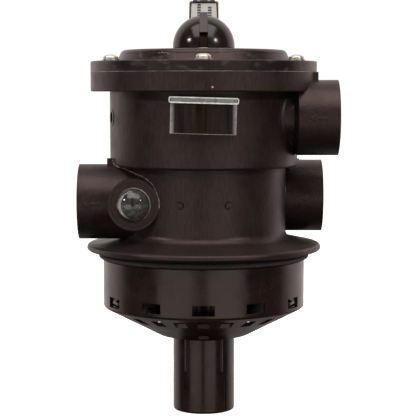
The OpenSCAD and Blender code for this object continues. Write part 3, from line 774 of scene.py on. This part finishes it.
@dataclass
class ValveBody:
    """The moulded body: fillets where its ports run into it, and the thread of its gauge port."""

    workshop: Workshop
    upper_r: float = 74.8 * MM
    lower_r: float = 65.5 * MM
    foot_fillet: float = 7 * MM
    fillet_z: float = 23.5 * MM
    shoulder_z: float = 74 * MM
    pump_neck_r: float = 23 * MM
    socket_r: float = 29.5 * MM
    fillet: float = 2.6 * MM
    buried_share: float = 0.8
    fillet_steps: int = 72
    curve_steps: int = 6
    thread_pitch: float = 0.9 * MM
    thread_deep: float = 0.45 * MM
    thread_steps: int = 24
    thread_share: float = 0.85
    bead_sides: int = 6
    bead_angle: float = 60.0
    # Size, steps and path of the bead along the waste port's seam, which carries a painted highlight.
    seam_bead_r: float = 0.38 * MM
    seam_steps: int = 6
    seam_path: tuple[tuple[float, float], ...] = (
        (-71.5, 80.5), (-70.5, 76.2), (-62.0, 73.5), (-53.5, 70.2), (-46.3, 67.9),
        (-39.7, 63.5), (-36.6, 58.0), (-33.8, 50.0), (-34.0, 42.0),
    )
    flange_r: float = 90 * MM
    parting_z: float = 148.6 * MM
    parting_r: float = 0.24 * MM
    parting_steps: int = 180
    spot_x: float = 6.7 * MM
    spot_z: float = 136.7 * MM
    spot_d: float = 1.5 * MM
    spot_h: float = 0.35 * MM
    spot_soften: float = 0.15 * MM
    spot_sunk: float = 0.05 * MM

    def build(self, mounts: dict[str, dict]) -> None:
        """Builds every piece of the body.

        Args:
            mounts: The record's mounts by name.
        """
        self.port_fillet("pump_port_fillet", mounts["pump_port"], self.pump_neck_r, (-178, 178))
        self.port_fillet("waste_port_fillet", mounts["waste_port"], self.socket_r, (132, 238))
        self.port_fillet("return_port_fillet", mounts["return_port"], self.socket_r, (-62, 46))
        self.gauge_thread(mounts["gauge_port"])
        self.waste_seam_highlight(mounts["waste_port"])
        self.parting_seam_highlight()
        self.gate_spot()

    def wall_radius(self, z: float) -> float:
        """How far the body's wall is from its axis.

        Args:
            z: A height.

        Returns:
            The wall's radius there.
        """
        if z > self.shoulder_z:
            return self.upper_r
        if z > self.fillet_z:
            return self.lower_r
        drop = min(self.fillet_z - z, self.foot_fillet)
        return self.lower_r + self.foot_fillet - math.sqrt(self.foot_fillet**2 - drop**2)

    def port_fillet(self, name: str, mount: dict, radius: float, span: tuple[float, float]) -> None:
        """A concave bead round the foot of a port.

        Args:
            name: The piece's name.
            mount: The port's mount, which gives its axis.
            radius: The port's outside radius.
            span: First and last angle round the port from its front, in degrees.
        """
        side = 1 if mount["axis"][0] > 0 else -1
        first, last = (math.radians(angle) for angle in span)
        rings = []
        for i in range(self.fillet_steps + 1):
            angle = first + (last - first) * i / self.fillet_steps
            rings.append([Vector((p.x * side, p.y, p.z)) for p in self.fillet_ring(mount, radius, angle)])
        self.workshop.swept(name, rings, Finishes.BODY, Slot.BODY, self.bead_angle)

    def on_wall(self, mount: dict, reach: float, angle: float) -> Vector:
        """A point on the body's wall beside a port that faces +X.

        Args:
            mount: The port's mount.
            reach: Distance from the port's axis.
            angle: Place round the port, from its front.

        Returns:
            The point.
        """
        _, port_y, port_z = mount["pos_m"]
        y = port_y - reach * math.cos(angle)
        z = port_z + reach * math.sin(angle)
        return Vector((math.sqrt(max(self.wall_radius(z)**2 - y**2, 0)), y, z))

    def fillet_ring(self, mount: dict, radius: float, angle: float) -> list[Vector]:
        """One section of a fillet: a curve from the port to the body, and a point inside both.

        Args:
            mount: The port's mount.
            radius: The port's outside radius.
            angle: Place round the port, from its front.

        Returns:
            The section's points, for a port that faces +X.
        """
        corner = self.on_wall(mount, radius, angle)
        on_port = corner + Vector((self.fillet, 0, 0))
        foot = self.on_wall(mount, radius + self.fillet, angle)
        buried = self.fillet * self.buried_share
        inside = self.on_wall(mount, radius - buried * 0.75, angle) - Vector((buried, 0, 0))
        shares = (i / self.curve_steps for i in range(self.curve_steps + 1))
        curve = [on_port * (1 - t) ** 2 + corner * (2 * t * (1 - t)) + foot * t**2 for t in shares]
        return [*curve, inside]

    def waste_seam_highlight(self, mount: dict) -> None:
        """A thin pale glowing bead along the seam where the waste port runs into the body: a painted
        highlight.

        Args:
            mount: The waste port's mount.
        """
        _, port_y, port_z = mount["pos_m"]
        points = []
        for first, second in zip(self.seam_path, self.seam_path[1:]):
            for i in range(self.seam_steps):
                x, z = (MM * (a + (b - a) * i / self.seam_steps) for a, b in zip(first, second))
                body_y = -math.sqrt(max(self.wall_radius(z)**2 - x**2, 0))
                port_face = port_y - math.sqrt(max(self.socket_r**2 - (z - port_z)**2, 0))
                points.append(Vector((x, min(body_y, port_face), z)))
        inner = [(a + b * 2 + c) / 4 for a, b, c in zip(points, points[1:], points[2:])]
        smooth = [points[0], *inner, points[-1]]
        rings = []
        for i, (before, point, after) in enumerate(zip(smooth, smooth[1:], smooth[2:]), 1):
            along = (after - before).normalized()
            side = along.cross(Vector((0, -1, 0))).normalized()
            radius = self.seam_bead_r * (0.7 + 0.3 * math.sin(i * 1.7))
            rings.append(self.workshop.ring(point, side, side.cross(along), radius, self.bead_sides))
        self.workshop.swept("waste_port_seam_highlight", rings, Finishes.SEAM_HIGHLIGHT, Slot.BODY, self.bead_angle)

    def parting_seam_highlight(self) -> None:
        """A thin, uneven pale glowing bead where the lid's flange meets the body's: a painted highlight."""
        up = Vector((0, 0, 1))
        rings = []
        for i in range(self.parting_steps):
            turn = math.tau * i / self.parting_steps
            out = Vector((math.cos(turn), math.sin(turn), 0))
            radius = self.parting_r * (0.6 + 0.25 * math.sin(7 * turn) + 0.15 * math.sin(31 * turn + 1))
            middle = out * self.flange_r + up * self.parting_z
            rings.append(self.workshop.ring(middle, out, up, radius, self.bead_sides))
        self.workshop.swept("flange_parting_line", rings, Finishes.SEAM_HIGHLIGHT, Slot.BODY, self.bead_angle, True)

    def gate_spot(self) -> None:
        """The pale spot of a trimmed moulding gate on the flange's front."""
        mesh = bmesh.new()
        outline = self.workshop.rounded_outline(self.spot_d, self.spot_d * 0.85, self.spot_d * 0.42, 5)
        turn = math.asin(self.spot_x / self.flange_r)
        reach = Matrix.Translation((0, self.spot_sunk - self.flange_r, self.spot_z))
        place = Matrix.Rotation(turn, 4, "Z") @ reach @ Matrix.Rotation(math.radians(90), 4, "X")
        self.workshop.pad(mesh, outline, self.spot_h, self.spot_soften, place)
        self.workshop.piece("flange_gate_spot", mesh, Finishes.SPOT, Body.HOUSING)

    def gauge_thread(self, mount: dict) -> None:
        """A helical thread inside the gauge port.

        Args:
            mount: The gauge port's mount.
        """
        axis = Vector(mount["axis"]).normalized()
        across = axis.orthogonal().normalized()
        up = axis.cross(across)
        bore = mount["dims"]["r_mm"] * MM
        length = mount["dims"]["length_mm"] * MM * self.thread_share
        turns = int(length / self.thread_pitch)
        half = axis * self.thread_pitch * 0.42
        rings = []
        for i in range(turns * self.thread_steps + 1):
            angle = math.tau * i / self.thread_steps
            out = across * math.cos(angle) + up * math.sin(angle)
            along = i / self.thread_steps * self.thread_pitch - length / 2
            centre = Vector(mount["pos_m"]) + axis * along
            root, crest = centre + out * bore, centre + out * (bore - self.thread_deep)
            rings.append([root - half, crest, root + half])
        self.workshop.swept("gauge_port_thread", rings, Finishes.BODY, Slot.BODY, 30)


@dataclass
class Window:
    """Painted highlights on the clear window: pale glowing beads and bands round its rim, on its side walls
    and along its lower edge.
    """

    workshop: Workshop
    lean: float = 1.6
    middle_z: float = 115.4 * MM
    front_r: float = 81.8 * MM
    rim_over: float = 1.2 * MM
    width: float = 49.6 * MM
    height: float = 27.4 * MM
    rim_h: float = 4.4 * MM
    rim_bead: float = 0.5 * MM
    rim_corner: float = 1.2 * MM
    rim_pitch: float = 3 * MM
    sunk: float = 0.1 * MM
    side_w: float = 3.2 * MM
    side_h: float = 0.25 * MM
    foot_bead: float = 0.22 * MM
    bead_sides: int = 8
    strip_steps: int = 20
    side_steps: int = 8

    @property
    def rim_up(self) -> float:
        """How far the rim's middle is above the window's.

        Returns:
            The height.
        """
        return (self.height - self.rim_h) / 2

    def across(self) -> list[float]:
        """Even places over the window's width.

        Returns:
            The places, from the window's middle.
        """
        return [self.width * (i / self.strip_steps - 0.5) for i in range(self.strip_steps + 1)]

    def build(self) -> None:
        """Builds the window's painted edge highlights."""
        self.rim()
        self.rim_face()
        self.sides()
        self.foot()

    def on_front(self, across: float, up: float, out: float) -> Vector:
        """A point on the window's round front.

        Args:
            across: Place along the window's width, from its middle.
            up: Place along its height, from its middle.
            out: How far the point stands out from the front.

        Returns:
            The point in the frame's axes.
        """
        lean = math.radians(self.lean)
        x = across * math.cos(lean) + up * math.sin(lean)
        z = self.middle_z + up * math.cos(lean) - across * math.sin(lean)
        radius = self.front_r + out
        return Vector((x, -math.sqrt(radius**2 - x**2), z))

    def bead(self, path: Sequence[tuple[float, float]], radius: float, out: float,
             closed: bool) -> list[list[Vector]]:
        """A round bead along a path on the window's front.

        Args:
            path: Places across and up.
            radius: The bead's radius.
            out: How far its middle stands out from the front.
            closed: Whether the path ends where it starts.

        Returns:
            The bead's rings.
        """
        points = [self.on_front(across, up, out) for across, up in path]
        count = len(points)
        rings = []
        for i, point in enumerate(points):
            before = points[i - 1] if closed or i else point
            after = points[(i + 1) % count] if closed or i + 1 < count else point
            away = Vector((point.x, point.y, 0)).normalized()
            side = (after - before).normalized().cross(away).normalized()
            rings.append(self.workshop.ring(point, side, away, radius, self.bead_sides))
        return rings

    def rim(self) -> None:
        """The pale glowing bead round the rim's front edge: a painted highlight."""
        tall = self.rim_h - self.rim_bead
        wide = self.width + 2 * self.rim_over - self.rim_bead
        outline = self.workshop.rounded_outline(tall, wide, self.rim_corner, 5)
        path = []
        for first, second in zip(outline, (*outline[1:], outline[0])):
            pieces = max(1, round((second - first).length / self.rim_pitch))
            for i in range(pieces):
                point = first.lerp(second, i / pieces)
                path.append((point.x, self.rim_up + point.y))
        rings = self.bead(path, self.rim_bead, self.rim_over - self.sunk, True)
        self.workshop.swept("window_rim_edge", rings, Finishes.RIM_EDGE, closed=True)

    def rim_face(self) -> None:
        """The dim, faintly glowing strip inside the rim's bead, a little crowned: painted light."""
        tall = self.rim_h / 2 - self.rim_bead
        section = ((-tall, -0.3), (-tall, 0.05), (0, 0.15), (tall, 0.05), (tall, -0.3))
        rows = [[self.on_front(across, self.rim_up + up, self.rim_over + out * MM) for up, out in section]
                for across in self.across()]
        self.workshop.swept("window_rim_face", rows, Finishes.RIM_FACE)

    def sides(self) -> None:
        """Pale glowing bands where the side walls meet the front, brightest outside: painted highlights."""
        mesh = bmesh.new()
        top = self.height / 2 - self.rim_h
        bottom = -self.height / 2
        for side in (-1, 1):
            outer = side * self.width / 2
            inner = outer - side * self.side_w
            section = ((outer, -self.sunk), (outer, self.side_h * 0.5), ((outer + inner) / 2, self.side_h),
                       (inner, 0.02 * MM), (inner, -self.sunk))
            heights = (top + (bottom - top) * i / self.side_steps for i in range(self.side_steps + 1))
            rows = [[self.on_front(across, up, out) for across, out in section] for up in heights]
            self.workshop.loft(mesh, rows)
        self.workshop.piece("window_side_edges", mesh, Finishes.SIDE_EDGE, Body.HOUSING)

    def foot(self) -> None:
        """The thin, bright glowing line along the lower edge: a painted highlight."""
        path = [(across, self.foot_bead - self.height / 2) for across in self.across()]
        rings = self.bead(path, self.foot_bead, 0.0, False)
        self.workshop.swept("window_foot_edge", rings, Finishes.FOOT_EDGE)


@dataclass
class SightGlass:
    """Painted light on the sight glass: a pale glowing highlight along part of its rim, and a glowing
    crescent inside its dome for a reflection.
    """

    workshop: Workshop
    rim_r: float = 12.9 * MM
    rim_bead: float = 0.4 * MM
    rim_span: tuple[float, float] = (-55.0, 130.0)
    glint_r: float = 9.7 * MM
    glint_w: float = 2.3 * MM
    glint_span: tuple[float, float] = (112.0, 252.0)
    glint_t: float = 0.15 * MM
    dome_r: float = 12.5 * MM
    dome_top: float = 10.6 * MM
    rim_out: float = 5.4 * MM
    rim_steps: int = 40
    rim_sides: int = 8
    glint_steps: int = 36

    def build(self) -> None:
        """Builds the rim highlight and the glint."""
        low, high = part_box("sight_glass")
        self.middle = Vector(((low.x + high.x) / 2, high.y, (low.z + high.z) / 2))
        self.rim()
        self.glint()

    def place(self, radius: float, angle: float, out: float) -> Vector:
        """A point round the glass's axis.

        Args:
            radius: Distance from the axis.
            angle: Angle from +X towards +Z, in degrees.
            out: How far the point is in front of the glass's foot.

        Returns:
            The point in the frame's axes.
        """
        turn = math.radians(angle)
        return self.middle + Vector((radius * math.cos(turn), -out, radius * math.sin(turn)))

    def rim(self) -> None:
        """A pale glowing bead that thins out at both ends, round part of the foot of the dome: a painted
        highlight.
        """
        first, last = self.rim_span
        rings = []
        for i in range(self.rim_steps + 1):
            share = i / self.rim_steps
            angle = first + (last - first) * share
            radius = self.rim_bead * (0.25 + 0.75 * math.sin(math.pi * share) ** 0.5)
            middle = self.place(self.rim_r, angle, self.rim_out)
            out = (self.place(1, angle, 0) - self.middle).normalized()
            rings.append(self.workshop.ring(middle, out, Vector((0, -1, 0)), radius, self.rim_sides))
        self.workshop.swept("sight_glass_rim_edge", rings, Finishes.GLASS_EDGE)

    def glint(self) -> None:
        """A glowing crescent on the inside of the dome: a painted reflection."""
        first, last = self.glint_span
        section = ((-1, 0.0), (0, 0.0), (1, 0.0), (1, self.glint_t), (-1, self.glint_t))
        rings = []
        for i in range(self.glint_steps + 1):
            share = i / self.glint_steps
            half = self.glint_w / 2 * max(0.08, math.sin(math.pi * share))
            ring = []
            for edge, drop in section:
                radius = self.glint_r + edge * half
                out = self.dome_top - self.dome_r + math.sqrt(self.dome_r**2 - radius**2) - drop
                ring.append(self.place(radius, first + (last - first) * share, out))
            rings.append(ring)
        self.workshop.swept("sight_glass_glint", rings, Finishes.GLASS_GLINT)


@dataclass
class Lid:
    """The lid's dial: a pale bar at each of the six positions, with one to six dots beside it."""

    workshop: Workshop
    positions: int = 6
    bar_len: float = 7.4 * MM
    bar_w: float = 1.3 * MM
    bar_out_r: float = 53 * MM
    dot_d: float = 1.5 * MM
    dot_pitch: float = 2.6 * MM
    dot_ring_r: float = 40 * MM
    raise_by: float = 0.12 * MM
    soften: float = 0.05 * MM

    def build(self) -> None:
        """Builds the dial's marks."""
        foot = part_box("position_label")[1].z - self.raise_by
        mesh = bmesh.new()
        bar = self.workshop.rounded_outline(self.bar_len, self.bar_w, self.bar_w * 0.3)
        dot = self.workshop.rounded_outline(self.dot_d, self.dot_d, self.dot_d * 0.499, 6)
        for position in range(self.positions):
            turn = Matrix.Rotation(math.tau * position / self.positions, 4, "Z")
            marks = [(bar, 0, self.bar_len / 2 - self.bar_out_r)]
            for i in range(position + 1):
                marks.append((dot, (i - position / 2) * self.dot_pitch, -self.dot_ring_r))
            for outline, x, y in marks:
                place = turn @ Matrix.Translation((x, y, foot))
                self.workshop.pad(mesh, outline, self.raise_by * 2, self.soften, place)
        self.workshop.piece("position_dial_marks", mesh, Finishes.MARKS, Body.HOUSING, Slot.LABEL)


@dataclass
class LiftSpring:
    """The compression spring, shown as a steel copy of its CAD node, which is hidden."""

    workshop: Workshop
    node_name: str = "compression_spring"
    name: str = "lift_spring"

    def build(self, nodes: dict[str, bpy.types.Object]) -> None:
        """Makes the spring as a copy of the node's mesh in the frame's axes, dressed in steel, and hides the
        node.

        Args:
            nodes: The frame's nodes by name.
        """
        node = nodes[self.node_name]
        data = node.data.copy()
        data.transform(node.matrix_world)
        thing = bpy.data.objects.new(self.name, data)
        bpy.context.scene.collection.objects.link(thing)
        self.workshop.finishes.dress(thing, Finishes.STEEL)
        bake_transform(thing)
        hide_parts(self.node_name)


@dataclass
class Handle:
    """The lever's label: two columns of plain printed blocks, and the tabs that hook its end."""

    workshop: Workshop
    slope: float = 33.0
    plate_top: float = 0.72 * MM
    ink_height: float = 0.1 * MM
    ink_sunk: float = 0.02 * MM
    ink_soften: float = 0.03 * MM
    block_corner: float = 0.5 * MM
    tab_corner: float = 0.6 * MM
    tab_soften: float = 0.3 * MM
    lever_len: float = 57 * MM
    columns: tuple[tuple[float, int], ...] = ((-3.9, 5), (4.9, 4))
    first_block: float = 33.5 * MM
    block_pitch: float = 4.3 * MM
    block_len: float = 3.2 * MM
    block_w: float = 3.0 * MM
    tab_pitch: float = 8.6 * MM
    tab_w: float = 2.6 * MM
    tab_len: float = 3.4 * MM
    tab_h: float = 1.4 * MM
    tab_z: float = 2.4 * MM

    def build(self, joints: Iterable[dict]) -> None:
        """Builds the label's print and its tabs.

        Args:
            joints: The frame's joints.
        """
        press = next(joint for joint in joints if joint["name"] == "lever_press")
        lever = Matrix.Translation(press["pos_m"]) @ Matrix.Rotation(math.radians(self.slope), 4, "X")
        self.print_blocks(lever)
        self.tabs(lever)

    def print_blocks(self, lever: Matrix) -> None:
        """The printed blocks.

        Args:
            lever: The lever's own frame, +Y along it.
        """
        mesh = bmesh.new()
        outline = self.workshop.rounded_outline(self.block_len, self.block_w, self.block_corner)
        for column_x, count in self.columns:
            for i in range(count):
                along = self.first_block + self.block_pitch * i
                place = lever @ Matrix.Translation((column_x * MM, along, self.plate_top - self.ink_sunk))
                self.workshop.pad(mesh, outline, self.ink_height, self.ink_soften, place)
        self.workshop.piece("label_print", mesh, Finishes.INK, Body.HANDLE, Slot.LABEL)

    def tabs(self, lever: Matrix) -> None:
        """The two pale tabs over the end bar.

        Args:
            lever: The lever's own frame, +Y along it.
        """
        mesh = bmesh.new()
        outline = self.workshop.rounded_outline(self.tab_len, self.tab_w, self.tab_corner)
        for side in (-1, 1):
            spot = (side * self.tab_pitch / 2, self.lever_len - self.tab_len / 2, self.tab_z)
            self.workshop.pad(mesh, outline, self.tab_h, self.tab_soften, lever @ Matrix.Translation(spot))
        self.workshop.piece("label_tabs", mesh, Finishes.LABEL, Body.HANDLE, Slot.LABEL)


# --------------------------------------------------------------------------------- studio


@dataclass
class SoftBox:
    """One soft light panel, aimed at the valve."""

    name: str
    azimuth: float
    elevation: float
    distance: float
    width: float
    height: float
    brightness: float

    def build(self, target: Vector) -> None:
        """Hangs the panel.

        Args:
            target: What it points at.
        """
        data = bpy.data.lights.new(self.name, "AREA")
        data.shape = "RECTANGLE"
        data.size = self.width
        data.size_y = self.height
        data.energy = 4 * self.width * self.height * self.brightness
        lamp = bpy.data.objects.new(self.name, data)
        bpy.context.scene.collection.objects.link(lamp)
        turn, lift = math.radians(self.azimuth), math.radians(self.elevation)
        back = Vector((math.sin(turn) * math.cos(lift), -math.cos(turn) * math.cos(lift), math.sin(lift)))
        lamp.location = target + back * self.distance
        lamp.rotation_euler = (-back).to_track_quat("-Z", "Y").to_euler()
        lamp.visible_camera = False


@dataclass
class Studio:
    """A white room that is bright behind the valve and dark beside it, soft boxes and the camera."""

    finishes: Finishes
    camera_distance: float = 1.12
    camera_height: float = 0.136
    camera_side: float = 3.4 * MM
    aim_height: float = 40 * MM
    lens: float = 121.0
    floor_half: float = 6.0
    floor_grid: int = 8
    dark_side: float = 0.05
    bright_back: float = 0.95
    back_tone: Colour = (1.0, 0.88, 0.84)
    back_span: tuple[float, float] = (0.12, 0.42)
    under_span: tuple[float, float] = (-0.4, -0.14)
    dim_under: float = 0.25
    backdrop: float = 1.05
    boxes: tuple[SoftBox, ...] = (
        SoftBox("panel_left", -30, -8.6, 1.5, 1.15, 0.64, 0.82),
        SoftBox("panel_right", 24, -8.6, 1.5, 1.1, 0.64, 0.9),
        SoftBox("panel_over", 0, 66, 1.4, 1.8, 1.3, 2.0),
        SoftBox("lamp_left", -58, 24.5, 1.6, 0.16, 0.16, 45.0),
        SoftBox("lamp_right", 47, 24.5, 1.6, 0.16, 0.16, 45.0),
    )

    def build(self) -> None:
        """Builds the whole studio."""
        low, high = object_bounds()
        self.floor(low.z)
        for box in self.boxes:
            box.build((low + high) / 2)
        self.world()
        self.camera()
        bpy.context.scene.view_settings.view_transform = "Standard"

    def floor(self, height: float) -> None:
        """Lays the floor as a wide pale sheet, which throws no light back on the valve.

        Args:
            height: The floor's height.
        """
        mesh = bmesh.new()
        grid = self.floor_grid
        bmesh.ops.create_grid(mesh, x_segments=grid, y_segments=grid, size=self.floor_half)
        data = bpy.data.meshes.new("floor")
        mesh.to_mesh(data)
        mesh.free()
        sheet = bpy.data.objects.new("floor", data)
        sheet.location.z = height
        sheet.visible_diffuse = False
        sheet.visible_glossy = False
        sheet.visible_shadow = False
        bpy.context.scene.collection.objects.link(sheet)
        self.finishes.dress(sheet, Finishes.PAPER)
        sheet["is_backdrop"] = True

    def world(self) -> None:
        """Surrounds the valve with white, which only its back and its silhouette see."""
        world = bpy.data.worlds.new("studio_white")
        world.use_nodes = True
        bpy.context.scene.world = world
        graph = Graph(world.node_tree)
        away = graph.add("ShaderNodeTexCoord").outputs["Generated"]
        axes = graph.add("ShaderNodeSeparateXYZ", Vector=away).outputs
        shade = graph.add("ShaderNodeMath")
        shade.operation = "MULTIPLY"
        back = graph.ramp(axes["Y"], self.back_span, (self.dark_side, self.bright_back), smooth=True)
        graph.feed(shade.inputs[0], back)
        above = graph.ramp(axes["Z"], self.under_span, (self.dim_under, 1.0), smooth=True)
        graph.feed(shade.inputs[1], above)
        seen = graph.add("ShaderNodeLightPath").outputs["Is Camera Ray"]
        strength = graph.add("ShaderNodeMix", Factor=seen, A=shade.outputs["Value"], B=self.backdrop)
        background = graph.nodes["Background"]
        graph.feed(background.inputs["Strength"], strength.outputs["Result"])
        graph.feed(background.inputs["Color"], graph.mix(seen, self.back_tone, WHITE))

    def camera(self) -> None:
        """Stands the camera in front of the valve, a little above its middle."""
        data = bpy.data.cameras.new("camera")
        data.lens = self.lens
        eye = bpy.data.objects.new("camera", data)
        bpy.context.scene.collection.objects.link(eye)
        eye.location = (self.camera_side, -self.camera_distance, self.camera_height)
        aim = Vector((self.camera_side, 0, self.aim_height))
        eye.rotation_euler = (aim - eye.location).to_track_quat("-Z", "Y").to_euler()
        bpy.context.scene.camera = eye


def main() -> None:
    """Loads the frame, dresses it, builds every sub-assembly and sets the studio."""
    logging.basicConfig(level=logging.INFO, format="%(name)s: %(message)s")
    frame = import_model()
    mounts = {mount["name"]: mount for mount in frame["record"]["mounts"]}
    finishes = Finishes()
    finishes.dress_frame(frame["nodes"])
    workshop = Workshop(finishes)
    steps: tuple[tuple[str, Callable[[], None]], ...] = (
        ("valve body", lambda: ValveBody(workshop).build(mounts)),
        ("window", Window(workshop).build),
        ("sight glass", SightGlass(workshop).build),
        ("lid", Lid(workshop).build),
        ("lift spring", lambda: LiftSpring(workshop).build(frame["nodes"])),
        ("handle", lambda: Handle(workshop).build(frame["joints"])),
        ("studio", Studio(finishes).build),
    )
    for name, build in steps:
        build()
        log.info("finished the %s", name)


if __name__ == "__main__":
    main()
